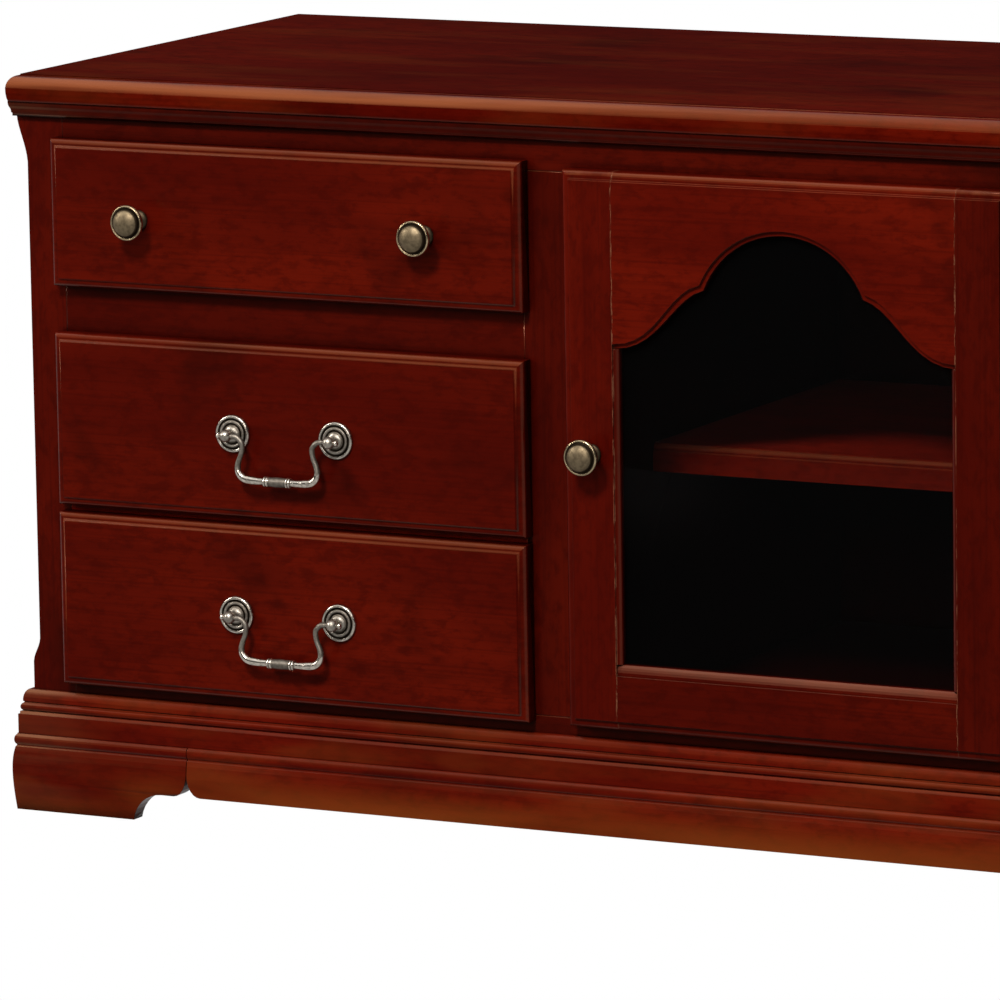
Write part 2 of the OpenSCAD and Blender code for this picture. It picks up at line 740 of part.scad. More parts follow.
// Turned grip in the middle of a bail: a barrel between two pairs of rings
function grip_outline() = let (h = grip_half) concat(
    [[0, -h], [3, -h]], arc([3.4, 1.3 - h], 1.4, 1.2, -80, 80, 4),
    arc([3.4, 3.8 - h], 1.4, 1.2, -80, 80, 4), [[4, 5.2 - h], [4.5, 0], [4, h - 5.2]],
    arc([3.4, h - 3.8], 1.4, 1.2, -80, 80, 4), arc([3.4, h - 1.3], 1.4, 1.2, -80, 80, 4),
    [[3, h], [0, h]]);

// Door

module door_board() { moulded_board(-door_half, door_half, door_z, door_top, door_face, door_t); }

module door_rebate() {
    block(-stile_in - rebate_w, stile_in + rebate_w, rebate_y, door_back + 1, rail_top - rebate_w, rebate_top);
}

module door_stile(s) {
    color(cherry) on_side(s) {
        difference() {
            intersection() {
                door_board();
                block(stile_in, door_half, door_face, door_back, door_z, door_top);
            }
            door_rebate();
        }
        along_z(rail_top, spring_z) polygon(concat([[stile_in + 1, door_face + 1.4]],
            arc([stile_in, door_face + 5.6], stile_bead, 4.2, 270, 180, 6),
            [[stile_in - stile_bead, rebate_y], [stile_in + 1, rebate_y]]));
    }
}

// What is cut away in front of the bottom rail's moulded edge: depth behind the face against height
function rail_mould() = concat([[-1, -10], [1.4, -10]], arc([5.6, -9], 4.2, 9, 180, 90, 6), [[5.6, 1], [-1, 1]]);

module door_bottom_rail() {
    color(cherry) placed() difference() {
        intersection() {
            door_board();
            block(-stile_in, stile_in, door_face, door_back, door_z, rail_top);
        }
        door_rebate();
        along_x(-stile_in, stile_in) polygon([for (p = rail_mould()) [door_face + p[0], rail_top + p[1]]]);
    }
}

// Half of the arch, from the stile to the crown, widened by w
function half_arch(w) = concat(
    bezier([stile_in, spring_z + w], [stile_in - 42, spring_z + w],
        [arch_round_w + 30 + w, cusp_z - 8 + w], [arch_round_w + w, cusp_z + w], 10),
    let (r = round_r + w, z = crown_z - round_r, a = asin((cusp_z + w - z) / r))
    [for (i = [0:12]) let (t = a + (90 - a) * i / 12) [r * cos(t), z + r * sin(t)]]);

module arch(w) {
    half = half_arch(w);
    polygon(concat([[stile_in, spring_z - arch_rise]], half, mirrored(half), [[-stile_in, spring_z - arch_rise]]));
}

module door_arched_rail() {
    color(cherry) placed() difference() {
        intersection() {
            door_board();
            block(-stile_in, stile_in, door_face, door_back, spring_z, door_top);
        }
        along_y(door_face - 1, door_back + 1) arch(0);
        along_y(door_face - 1, door_face + 3) arch(arch_bead);
        door_rebate();
    }
}

module door_glass() {
    x = stile_in + rebate_w - glass_clear;
    color("#20242a") placed()
        block(-x, x, rebate_y, rebate_y + glass_t, rail_top - rebate_w + glass_clear, rebate_top - glass_clear);
}

module glass_retainers() {
    x = stile_in + rebate_w;
    z0 = rail_top - rebate_w;
    y0 = rebate_y + glass_t;
    w = rebate_w - glass_clear;
    color(cherry_dark) placed() {
        for (s = [0, 1]) mirror([s, 0, 0]) block(x - w, x, y0, door_back, z0, rebate_top);
        block(w - x, x - w, y0, door_back, z0, z0 + w);
        block(w - x, x - w, y0, door_back, rebate_top - w, rebate_top);
    }
}

// Butt hinges at the right edge of the door: three knuckles on a fixed pin

module frame_hinge_leaves() {
    color(steel) placed() for (z = hinge_zs) translate([0, 0, -hinge_len / 2 + z]) {
        for (z0 = [0, hinge_len - knuckle_len]) difference() {
            union() {
                translate([hinge_x, hinge_y, z0]) cylinder(r = knuckle_r, h = knuckle_len);
                block(hinge_x - leaf_w, hinge_x, -leaf_t, 0, z0, z0 + knuckle_len);
            }
            translate([hinge_x, hinge_y, z0 - 1]) cylinder(r = hinge_pin_r, h = knuckle_len + 2);
        }
        translate([hinge_x, hinge_y, 0]) cylinder(r = hinge_pin_r, h = hinge_len);
    }
}

module door_hinge_leaves() {
    z0 = knuckle_len + knuckle_gap;
    color(steel) placed() {
        for (z = hinge_zs) translate([0, 0, -hinge_len / 2 + z]) difference() {
            union() {
                translate([hinge_x, hinge_y, z0]) cylinder(r = knuckle_r, h = knuckle_len);
                block(hinge_x - 2 * leaf_w, hinge_x, door_back, door_back + leaf_t, z0, z0 + knuckle_len);
            }
            translate([hinge_x, hinge_y, z0 - 1]) cylinder(r = hinge_pin_r + pin_clear, h = knuckle_len + 2);
        }
        block(catch_w - bay_in - 14, catch_w - bay_in - 2, door_back, door_back + strike_t, catch_z + 4, catch_z + catch_h - 4);
    }
}

// Magnetic catch on the left partition, with its strike plate on the door

catch_w = 15;
catch_h = 30;
catch_z = up_top - 70;
strike_t = 1.4;

module door_catch() {
    color(steel) placed() block(-bay_in, catch_w - bay_in, door_back + strike_t + 0.3, 38, catch_z, catch_z + catch_h);
}

top_panel();
cornice_moulding();
side_panel(-1);  // left_side_panel
side_panel(1);  // right_side_panel
corner_stile(-1);  // left_corner_stile
corner_stile(1);  // right_corner_stile
inner_stile(-1);  // left_inner_stile
inner_stile(1);  // right_inner_stile
top_rail();
bottom_rail();
drawer_rails(-1);  // left_drawer_rails
drawer_rails(1);  // right_drawer_rails
partition(-1);  // left_partition
partition(1);  // right_partition
bottom_panel();
outer_back_panels();
media_back_panel();
shelf();
shelf_pins();
base_moulding();
front_foot(-1);  // front_left_foot
front_foot(1);  // front_right_foot
front_apron();
side_aprons();
rear_feet();
foot_blocks();
drawer_runners(-1);  // left_drawer_runners
drawer_runners(1);  // right_drawer_runners
frame_hinge_leaves();
door_catch();
door_stile(-1);  // door_left_stile
door_stile(1);  // door_right_stile
door_arched_rail();
door_bottom_rail();
door_glass();
glass_retainers();
door_knob();
door_hinge_leaves();
drawer_front(-1, top_level);  // left_top_drawer_front
drawer_box(-1, top_level);  // left_top_drawer_box
drawer_knobs(-1);  // left_top_drawer_knobs
drawer_front(-1, middle_level);  // left_middle_drawer_front
drawer_box(-1, middle_level);  // left_middle_drawer_box
rosettes(-1, middle_level);  // left_middle_rosettes
bail(-1, middle_level);  // left_middle_bail
drawer_front(-1, bottom_level);  // left_bottom_drawer_front
drawer_box(-1, bottom_level);  // left_bottom_drawer_box
rosettes(-1, bottom_level);  // left_bottom_rosettes
bail(-1, bottom_level);  // left_bottom_bail
drawer_front(1, top_level);  // right_top_drawer_front
drawer_box(1, top_level);  // right_top_drawer_box
drawer_knobs(1);  // right_top_drawer_knobs
drawer_front(1, middle_level);  // right_middle_drawer_front
drawer_box(1, middle_level);  // right_middle_drawer_box
rosettes(1, middle_level);  // right_middle_rosettes
bail(1, middle_level);  // right_middle_bail
drawer_front(1, bottom_level);  // right_bottom_drawer_front
drawer_box(1, bottom_level);  // right_bottom_drawer_box
rosettes(1, bottom_level);  // right_bottom_rosettes
bail(1, bottom_level);  // right_bottom_bail
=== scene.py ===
import json
import math

import bmesh
import bpy
from mathutils import Matrix, Vector


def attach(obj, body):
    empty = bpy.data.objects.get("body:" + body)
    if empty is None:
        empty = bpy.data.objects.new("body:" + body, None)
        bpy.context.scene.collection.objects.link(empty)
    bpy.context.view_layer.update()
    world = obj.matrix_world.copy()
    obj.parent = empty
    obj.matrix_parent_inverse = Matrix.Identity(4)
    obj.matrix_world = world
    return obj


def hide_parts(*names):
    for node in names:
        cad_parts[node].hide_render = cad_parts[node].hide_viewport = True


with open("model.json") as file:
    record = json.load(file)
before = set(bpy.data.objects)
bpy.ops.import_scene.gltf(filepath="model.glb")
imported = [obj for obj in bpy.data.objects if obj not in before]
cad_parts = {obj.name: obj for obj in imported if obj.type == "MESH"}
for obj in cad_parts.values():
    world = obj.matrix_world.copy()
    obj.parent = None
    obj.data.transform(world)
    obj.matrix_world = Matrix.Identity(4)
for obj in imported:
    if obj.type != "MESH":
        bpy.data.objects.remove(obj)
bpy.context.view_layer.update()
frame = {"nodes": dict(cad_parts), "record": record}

BODIES = {n: body for body, names in frame["record"]["behaviour"]["bodies"].items() for n in names}
SLOTS = {part["node"]: part["material_slot"] for part in frame["record"]["subparts"]}
MIRRORED_FLOOR, MIRRORED_HORIZON = 0.4, 0.035  # share of white that lacquer and metal mirror
ROOM_LIGHT = 0.07                              # strength of the world on everything that isn't a mirror
THIN_RAIL = 0.035                              # a drawer rail lower than this lies in the shade between two fronts
JOINT_LINE = 0.159                             # how far from the middle the door's rails meet its stiles
EASE = 0.0008                                  # radius on the edges of boards that meet
MERGE = 1e-6                                   # corners nearer than this are one


# ---------------------------------------------------------------- material building

def new_material(name):
    """A material with an empty tree, its output and its main shader."""
    material = bpy.data.materials.new(name)
    material.use_nodes = True
    tree = material.node_tree
    tree.nodes.clear()
    output = tree.nodes.new("ShaderNodeOutputMaterial")
    shader = tree.nodes.new("ShaderNodeBsdfPrincipled")
    tree.links.new(shader.outputs["BSDF"], output.inputs["Surface"])
    return material, tree, shader


def add(tree, kind, inputs=None, **settings):
    """A node with its settings, and numbers or links on its named or numbered inputs."""
    node = tree.nodes.new(kind)
    for key, value in settings.items():
        setattr(node, key, value)
    for key, value in (inputs or {}).items():
        if isinstance(value, bpy.types.NodeSocket):
            tree.links.new(value, node.inputs[key])
        else:
            node.inputs[key].default_value = value
    return node


def math_node(tree, operation, a, b=0.5, clamp=False):
    return add(tree, "ShaderNodeMath", {0: a, 1: b}, operation=operation, use_clamp=clamp).outputs[0]


def mapped(tree, value, low, high, to_low=0.0, to_high=1.0):
    """A value spread smoothly from one range onto another."""
    inputs = {"Value": value, "From Min": low, "From Max": high, "To Min": to_low, "To Max": to_high}
    return add(tree, "ShaderNodeMapRange", inputs, interpolation_type="SMOOTHSTEP").outputs["Result"]


def mixed(tree, factor, a, b, blend="MIX"):
    """Two colours mixed by a factor."""
    node = add(tree, "ShaderNodeMix", data_type="RGBA", blend_type=blend)
    for socket, value in (("Factor_Float", factor), ("A_Color", a), ("B_Color", b)):
        target = next(s for s in node.inputs if s.identifier == socket)
        if isinstance(value, bpy.types.NodeSocket):
            tree.links.new(value, target)
        else:
            target.default_value = value
    return next(s for s in node.outputs if s.identifier == "Result_Color")


def noise(tree, vector, scale, detail=2.0, distortion=0.0, roughness=0.5):
    inputs = {"Vector": vector, "Scale": scale, "Detail": detail, "Distortion": distortion, "Roughness": roughness}
    return add(tree, "ShaderNodeTexNoise", inputs).outputs["Fac"]


def along_grain(tree, point, run, stretch, shift=0.0):
    """Object coordinates squeezed along the grain, so that a noise is drawn out into streaks."""
    scale = [1.0 if axis != run else stretch for axis in "xyz"]
    inputs = {"Vector": point, "Scale": scale, "Location": (shift, shift * 0.7, shift * 1.3)}
    return add(tree, "ShaderNodeMapping", inputs).outputs["Vector"]


def upper_rounding(tree):
    """1 where a piece is rounded over towards the front or a side and upwards, 0 on its flat faces and underneath."""
    normal = add(tree, "ShaderNodeTexCoord").outputs["Normal"]
    upward = add(tree, "ShaderNodeSeparateXYZ", {"Vector": normal}).outputs["Z"]
    return math_node(tree, "MULTIPLY", mapped(tree, upward, 0.04, 0.30), mapped(tree, upward, 0.72, 0.97, 1.0, 0.0))


def flat_faces(tree):
    """1 on the faces square to the piece's own axes, 0 on its mouldings."""
    normal = add(tree, "ShaderNodeTexCoord").outputs["Normal"]
    turned = add(tree, "ShaderNodeVectorMath", {0: normal}, operation="ABSOLUTE").outputs[0]
    parts = add(tree, "ShaderNodeSeparateXYZ", {"Vector": turned}).outputs
    largest = math_node(tree, "MAXIMUM", math_node(tree, "MAXIMUM", parts["X"], parts["Y"]), parts["Z"])
    return mapped(tree, largest, 0.80, 0.995)


def cherry(name, run, seed=0.0, tone=1.0, gold=0.0, gleam=0.3, sheen=0.08, edge_sheen=0.6, painted_end_sheen=0.0, corner_shade=0.75,
           joint=0.0, highlight_colour=(0.26, 0.075, 0.028, 1.0)):
    """Dark red cherry stain under semi-gloss lacquer, with the grain along the axis run.

    gold is the share of worn golden patches, and when set also turns on a painted light that makes the wood paler
    and more golden near the floor; gleam is the share of a painted highlight on edges rounded over upwards, and
    highlight_colour its colour; sheen and edge_sheen are the gloss of flat faces and of mouldings; painted_end_sheen
    is the share of a painted pale sheen at the far left and right of a moulding; corner_shade is how dark the painted
    shade in corners and between parts is; and joint is how far from the middle a painted highlight line lies along an
    upright joint.
    """
    material, tree, shader = new_material(name)
    point = add(tree, "ShaderNodeTexCoord").outputs["Object"]
    place = add(tree, "ShaderNodeSeparateXYZ", {"Vector": point}).outputs
    from_middle = math_node(tree, "ABSOLUTE", place["X"])
    flat = flat_faces(tree)
    figure = noise(tree, along_grain(tree, point, run, 0.3, seed), 7.0, 3.0, 0.6)
    streaks = noise(tree, along_grain(tree, point, run, 0.05, seed + 3.0), 60.0, 4.0, 0.4)
    fine = noise(tree, along_grain(tree, point, run, 0.012, seed + 7.0), 420.0, 3.0)
    pores = mapped(tree, noise(tree, along_grain(tree, point, run, 0.05, seed + 11.0), 900.0, 1.0), 0.62, 0.74)

    deep = (0.036 * tone, 0.0012 * tone, 0.0004 * tone, 1.0)
    body = (0.062 * tone, 0.0022 * tone, 0.0006 * tone, 1.0)
    clear = (0.104 * tone, 0.0048 * tone, 0.0011 * tone, 1.0)
    colour = mixed(tree, mapped(tree, figure, 0.30, 0.72), body, clear)
    colour = mixed(tree, mapped(tree, streaks, 0.40, 0.70, 0.0, 0.25), colour, deep)
    colour = mixed(tree, mapped(tree, fine, 0.45, 0.75, 0.0, 0.45), colour, deep)
    speckle = noise(tree, along_grain(tree, point, run, 0.45, seed + 13.0), 120.0, 5.0, 0.3, 0.65)
    colour = mixed(tree, mapped(tree, speckle, 0.44, 0.66, 0.0, 0.55), colour, deep)
    blotch = noise(tree, along_grain(tree, point, run, 0.6, seed + 17.0), 11.0, 4.0, 0.5, 0.6)
    colour = mixed(tree, mapped(tree, blotch, 0.52, 0.74, 0.0, 0.6), colour, (0.020 * tone, 0.0010, 0.0004, 1.0))
    if gold:
        patches = noise(tree, along_grain(tree, point, run, 0.25, seed + 5.0), 22.0, 3.0)
        colour = mixed(tree, mapped(tree, patches, 0.45, 0.75, 0.0, gold), colour, (0.15, 0.026, 0.005, 1.0))
        # Painted light: paler and more golden close to the floor, standing in for light thrown back up by the white
        # floor.
        near_floor = mapped(tree, place["Z"], 0.022, 0.055, 0.75, 0.0)
        painted_floor_light = math_node(tree, "MULTIPLY", near_floor, mapped(tree, figure, 0.3, 0.6))
        colour = mixed(tree, painted_floor_light, colour, (0.19, 0.042, 0.007, 1.0))
    # Painted highlight: a lighter colour on edges rounded over upwards, where the lamps catch them.
    if gleam:
        painted_highlight = math_node(tree, "MULTIPLY", upper_rounding(tree), mapped(tree, streaks, 0.32, 0.62, 0.35 * gleam, gleam))
        colour = mixed(tree, painted_highlight, colour, highlight_colour)
    # Painted sheen: a pale reflection towards the far left and right ends of a moulding, faint on its flat faces.
    if painted_end_sheen:
        far = mapped(tree, from_middle, 0.665, 0.745, 0.0, painted_end_sheen)
        far = math_node(tree, "MULTIPLY", far, mapped(tree, flat, 0.0, 1.0, 1.0, 0.1))
        colour = mixed(tree, math_node(tree, "MULTIPLY", far, mapped(tree, streaks, 0.3, 0.6)), colour,
                       (0.24, 0.105, 0.050, 1.0))
    # Painted highlight: a broken pale line on the upright joint where the door's rails meet its stiles.
    if joint:
        away = math_node(tree, "ABSOLUTE", math_node(tree, "SUBTRACT", from_middle, joint))
        line = mapped(tree, away, 0.0003, 0.0009, 0.36, 0.0)
        painted_joint_highlight = math_node(tree, "MULTIPLY", line, mapped(tree, speckle, 0.45, 0.60))
        colour = mixed(tree, painted_joint_highlight, colour, (0.40, 0.17, 0.09, 1.0))
    # Painted shade: darker in corners, creases and between parts, from ambient occlusion within 16 mm.
    corner = add(tree, "ShaderNodeAmbientOcclusion", {"Distance": 0.016}, samples=6).outputs["AO"]
    shade = mapped(tree, corner, 0.25, 0.92, 1.0 - corner_shade, 1.0)
    grey = add(tree, "ShaderNodeCombineColor", {0: shade, 1: shade, 2: shade}).outputs[0]
    tree.links.new(mixed(tree, 1.0, colour, grey, "MULTIPLY"), shader.inputs["Base Color"])

    tree.links.new(mapped(tree, flat, 0.0, 1.0, 0.17, 0.30), shader.inputs["Roughness"])
    tree.links.new(mapped(tree, flat, 0.0, 1.0, edge_sheen, sheen), shader.inputs["Specular IOR Level"])
    shader.inputs["Specular Tint"].default_value = (1.0, 0.44, 0.28, 1.0)
    shader.inputs["Specular IOR Level"].default_value = sheen
    eased = add(tree, "ShaderNodeBevel", {"Radius": 0.0007}, samples=4).outputs["Normal"]
    relief = math_node(tree, "ADD", fine, pores)
    bump = add(tree, "ShaderNodeBump", {"Strength": 0.05, "Distance": 0.0002, "Height": relief, "Normal": eased})
    tree.links.new(bump.outputs["Normal"], shader.inputs["Normal"])
    return material


def plain_wood(name, run, light, dark, rough=0.6):
    """Bare or thinly sealed wood, as inside drawers and on the back."""
    material, tree, shader = new_material(name)
    point = add(tree, "ShaderNodeTexCoord").outputs["Object"]
    rings = noise(tree, along_grain(tree, point, run, 0.08), 40.0, 4.0, 0.6)
    fine = noise(tree, along_grain(tree, point, run, 0.02, 4.0), 500.0, 2.0)
    colour = mixed(tree, mapped(tree, rings, 0.35, 0.65), light, dark)
    colour = mixed(tree, mapped(tree, fine, 0.5, 0.8, 0.0, 0.3), colour, dark)
    tree.links.new(colour, shader.inputs["Base Color"])
    tree.links.new(mapped(tree, rings, 0.3, 0.7, rough - 0.06, rough + 0.06), shader.inputs["Roughness"])
    shader.inputs["Specular IOR Level"].default_value = 0.25
    bump = add(tree, "ShaderNodeBump", {"Strength": 0.15, "Distance": 0.0003, "Height": fine})
    tree.links.new(bump.outputs["Normal"], shader.inputs["Normal"])
    return material


def pewter(name, bright=(0.80, 0.73, 0.63, 1.0), rough=0.16):
    """Antique pewter: bright rubbed metal with a dark patina left in the hollows."""
    material, tree, shader = new_material(name)
    point = add(tree, "ShaderNodeTexCoord").outputs["Object"]
    open_sky = add(tree, "ShaderNodeAmbientOcclusion", {"Distance": 0.006}, samples=8, only_local=True).outputs["AO"]
    mottle = noise(tree, point, 260.0, 3.0)
    rubbed = math_node(tree, "MULTIPLY", mapped(tree, open_sky, 0.56, 0.97), mapped(tree, mottle, 0.3, 0.65, 0.55, 1.0))
    patina = add(tree, "ShaderNodeAttribute", attribute_name="patina").outputs["Fac"]
    rubbed = math_node(tree, "MULTIPLY", rubbed, math_node(tree, "SUBTRACT", 1.0, patina))
    colour = mixed(tree, rubbed, (0.034, 0.023, 0.014, 1.0), bright)
    tree.links.new(colour, shader.inputs["Base Color"])
    tree.links.new(mapped(tree, rubbed, 0.0, 1.0, 0.55, rough), shader.inputs["Roughness"])
    shader.inputs["Metallic"].default_value = 1.0
    bump = add(tree, "ShaderNodeBump", {"Strength": 0.12, "Distance": 0.0002, "Height": mottle})
    tree.links.new(bump.outputs["Normal"], shader.inputs["Normal"])
    return material


def plated(name):
    """Satin nickel plate of the hinges, pins, catch and screws."""
    material, tree, shader = new_material(name)
    point = add(tree, "ShaderNodeTexCoord").outputs["Object"]
    brushed = noise(tree, along_grain(tree, point, "z", 0.05), 900.0, 2.0)
    tree.links.new(mapped(tree, brushed, 0.3, 0.7, 0.28, 0.42), shader.inputs["Roughness"])
    shader.inputs["Base Color"].default_value = (0.42, 0.40, 0.37, 1.0)
    shader.inputs["Metallic"].default_value = 1.0
    return material


def clear_glass(name):
    """Thin door glass: a faint reflection over a dark veil, which paints shade over the bay behind it."""
    material, tree, shader = new_material(name)
    shader.inputs["Base Color"].default_value = (0.004, 0.004, 0.004, 1.0)
    shader.inputs["Roughness"].default_value = 0.03
    shader.inputs["Alpha"].default_value = 0.15
    shader.inputs["Specular IOR Level"].default_value = 0.04
    return material


FINISHES = {
    "drawer_front": cherry("cherry_drawer_front", "x", 1.0, 0.96),
    "long_grain": cherry("cherry_long_grain", "x", 2.0, 0.74),
    "corner_stile": cherry("cherry_corner_stile", "z", 15.0, 0.85),
    # Painted shade: the cornice at a much lower tone than the other boards, for the shade under the top's overhang; its
    # far ends get a painted pale sheen.
    "cornice": cherry("cherry_cornice", "x", 12.0, 0.55, painted_end_sheen=0.8),
    "door_rail": cherry("cherry_door_rail", "x", 13.0, 1.15, joint=JOINT_LINE),
    # Painted shade: the bottom rail at a lower tone than the arched rail, darker at the bottom of the door; its gleam
    # paints a pale highlight on the bead along the glass.
    "door_low_rail": cherry("cherry_door_low_rail", "x", 16.0, 0.85, gleam=0.32, edge_sheen=0.8,
                            joint=JOINT_LINE, highlight_colour=(0.30, 0.12, 0.07, 1.0)),
    "door_stile": cherry("cherry_door_stile", "z", 14.0, 1.03, joint=JOINT_LINE),
    # Painted shade: the right stile at a lower tone than the left one, as the light falls off to the right.
    "door_far_stile": cherry("cherry_door_far_stile", "z", 18.0, 0.80, joint=JOINT_LINE),
    "top": cherry("cherry_top", "x", 5.0, 0.98, gold=0.22, gleam=0.8, sheen=0.004),
    # Painted light: the thin rails at 2.6 times the tone and with little painted corner shade, a lighter copy to make
    # up for the shade between two fronts.
    "thin_rail": cherry("cherry_thin_rail", "x", 21.0, 2.6, corner_shade=0.1),
    "upright": cherry("cherry_upright", "z", 3.0, 0.72),
    "base": cherry("cherry_base", "x", 6.0, 1.20, gold=0.45, gleam=0.12, edge_sheen=0.45, painted_end_sheen=0.6,
                   corner_shade=0.88),
    "apron": cherry("cherry_apron", "x", 19.0, 1.25, gold=0.5, gleam=0.12, edge_sheen=0.45),
    "side_run": cherry("cherry_side_run", "y", 4.0, 1.0, gold=0.4),
    "side_panel": cherry("cherry_side_panel", "z", 8.0, 0.75),
    # Painted light: the shelf at 1.5 times the tone and its top face at 2.4, lighter copies of the cherry for a shelf
    # in the shade behind the glass.
    "shelf": cherry("cherry_shelf", "x", 9.0, 1.5, sheen=0.10),
    "shelf_top": cherry("cherry_shelf_top", "x", 9.0, 2.4, sheen=0.10, corner_shade=0.3),
    "inside": cherry("cherry_inside", "y", 10.0, 0.15, sheen=0.03),
    "drawer_wood": plain_wood("drawer_wood", "y", (0.42, 0.25, 0.13, 1.0), (0.27, 0.14, 0.06, 1.0)),
    "drawer_back": plain_wood("drawer_back_wood", "x", (0.42, 0.25, 0.13, 1.0), (0.27, 0.14, 0.06, 1.0)),
    "back_board": plain_wood("back_board", "z", (0.21, 0.10, 0.05, 1.0), (0.12, 0.05, 0.025, 1.0)),
    "pewter": pewter("antique_pewter"),
    "knob_pewter": pewter("warm_pewter", (0.62, 0.48, 0.29, 1.0), 0.20),
    "plated": plated("satin_plate"),
    "glass": clear_glass("clear_glass"),
}

FINISH_OF = {
    "top_panel": "top", "cornice_moulding": "cornice", "top_rail": "long_grain", "bottom_rail": "long_grain",
    "left_side_panel": "side_panel", "right_side_panel": "side_panel", "base_moulding": "base",
    "front_left_foot": "base", "front_right_foot": "base", "front_apron": "apron", "side_aprons": "side_run",
    "rear_feet": "side_run", "left_drawer_rails": "long_grain", "right_drawer_rails": "long_grain",
    "left_corner_stile": "corner_stile", "right_corner_stile": "corner_stile", "left_inner_stile": "upright",
    "right_inner_stile": "upright", "left_partition": "inside", "right_partition": "inside",
    "bottom_panel": "inside", "outer_back_panels": "back_board", "media_back_panel": "inside",
    "shelf": "shelf", "door_left_stile": "door_stile", "door_right_stile": "door_far_stile",
    "door_arched_rail": "door_rail", "door_bottom_rail": "door_low_rail", "glass_retainers": "inside",
}
SECOND_FINISH = {node: ("drawer_back", (0, -1, 0)) for node in SLOTS if node.endswith("_drawer_box")}
# The shelf's top face takes the lighter painted-light copy; the media back panel's rear face takes the back board.
SECOND_FINISH.update({"shelf": ("shelf_top", (0, 0, 1)), "media_back_panel": ("back_board", (0, 1, 0))})
EASED = ("top_rail", "bottom_rail", "left_drawer_rails", "right_drawer_rails", "left_corner_stile",
         "right_corner_stile", "left_inner_stile", "right_inner_stile", "door_left_stile", "door_right_stile",
         "door_arched_rail", "door_bottom_rail")
FINISH_OF_SLOT = {"drawer_wood": "drawer_wood", "antique_pewter": "pewter", "hinge_steel": "plated",
                  "clear_glass": "glass", "cherry_wood": "drawer_front"}


# ---------------------------------------------------------------- pieces

def keep_mitres(mesh):
    """Marks as sharp the slanting edges where two mouldings meet, so that neither shades into the other."""
    shape = bmesh.new()
    shape.from_mesh(mesh)
    for edge in shape.edges:
        along = (edge.verts[1].co - edge.verts[0].co).normalized()
        slanting = max(abs(along.x), abs(along.y), abs(along.z)) < 0.999
        if slanting and len(edge.link_faces) == 2 and edge.calc_face_angle() > 0.01:
            edge.smooth = False
    shape.to_mesh(mesh)
    shape.free()


def smoothed(piece, angle=32.0, mitred=False, ease=0.0):
    """Joins the loose triangles of a copied CAD mesh and shades its curves smooth, with its corners kept sharp."""
    shape = bmesh.new()
    shape.from_mesh(piece.data)
    bmesh.ops.remove_doubles(shape, verts=shape.verts, dist=MERGE)
    bmesh.ops.dissolve_degenerate(shape, dist=1e-7, edges=shape.edges)
    shape.to_mesh(piece.data)
    shape.free()
    piece.data.shade_smooth()
    piece.data.set_sharp_from_angle(angle=math.radians(angle))
    if mitred:
        keep_mitres(piece.data)
    if ease:
        eased_edges(piece, ease)
    weigh = piece.modifiers.new("weigh_faces", "WEIGHTED_NORMAL")
    weigh.keep_sharp = True
    weigh.mode = "FACE_AREA"
    weigh.weight = 100
    settled(piece)


def eased_edges(piece, width):
    """Breaks the sharp edges of a board, so that the joints between boards show as fine lines."""
    bevel = piece.modifiers.new("ease_edges", "BEVEL")
    bevel.limit_method = "ANGLE"
    bevel.angle_limit = math.radians(50.0)
    bevel.width = width
    bevel.segments = 2


def settled(piece):
    """Turns the modifiers of a piece into plain mesh."""
    bpy.context.view_layer.update()
    result = bpy.data.meshes.new_from_object(piece.evaluated_get(bpy.context.evaluated_depsgraph_get()))
    piece.modifiers.clear()
    piece.data = result


def loose_parts(shape):
    """The separate solids of a mesh, as lists of faces."""
    waiting, parts = set(shape.faces), []
    while waiting:
        part, edge_of = [], [waiting.pop()]
        while edge_of:
            face = edge_of.pop()
            part.append(face)
            near = {f for edge in face.edges for f in edge.link_faces if f in waiting}
            waiting -= near
            edge_of.extend(near)
        parts.append(part)
    return parts


def box_of(part):
    """The lowest and the highest corner of a solid."""
    spots = [v.co for face in part for v in face.verts]
    return (Vector([pick(spot[i] for spot in spots) for i in range(3)]) for pick in (min, max))


def lighten_thin_rails(piece):
    """Gives the thin rails between two drawer fronts a lighter copy of the rail finish, painted light that makes up for
    the shade they lie in.
    """
    piece.data.materials.append(FINISHES["thin_rail"])
    shape = bmesh.new()
    shape.from_mesh(piece.data)
    for part in loose_parts(shape):
        low, high = box_of(part)
        for face in part:
            piece.data.polygons[face.index].material_index = 1 if high.z - low.z < THIN_RAIL else 0
    shape.free()


def knob_patina(spot, low, high):
    """Dark in the ring between a knob's rim and its dome, and on the stem behind the head."""
    radius = (high.x - low.x) / 2
    out = math.hypot(spot.x - (low.x + high.x) / 2, spot.z - (low.z + high.z) / 2) / radius
    behind = (spot.y - low.y) / (high.y - low.y)
    if behind > 0.42:
        return 0.93
    return 0.95 if 0.70 < out < 0.86 else 0.70 if out < 0.70 else 0.0


def bail_patina(spot, low, high):
    """Dark on the barrel of a bail's grip and on its arms, bright on the bends between them."""
    across = abs(spot.x - (low.x + high.x) / 2)
    if spot.z < low.z + 0.012 and across < 0.0084:
        return 0.78
    return 0.72 if spot.z > low.z + 0.014 and across < 0.046 else 0.0


def rosette_patina(spot, low, high):
    """Dark between the rings of a rosette, with its rim and the crests of its rings rubbed bright."""
    radius = (high.x - low.x) / 2
    out = math.hypot(spot.x - (low.x + high.x) / 2, spot.z - (low.z + high.z) / 2) / radius
    for edge, shade in ((0.40, 0.45), (0.56, 0.85), (0.68, 0.40), (0.86, 0.80)):
        if out < edge:
            return shade
    return 0.15


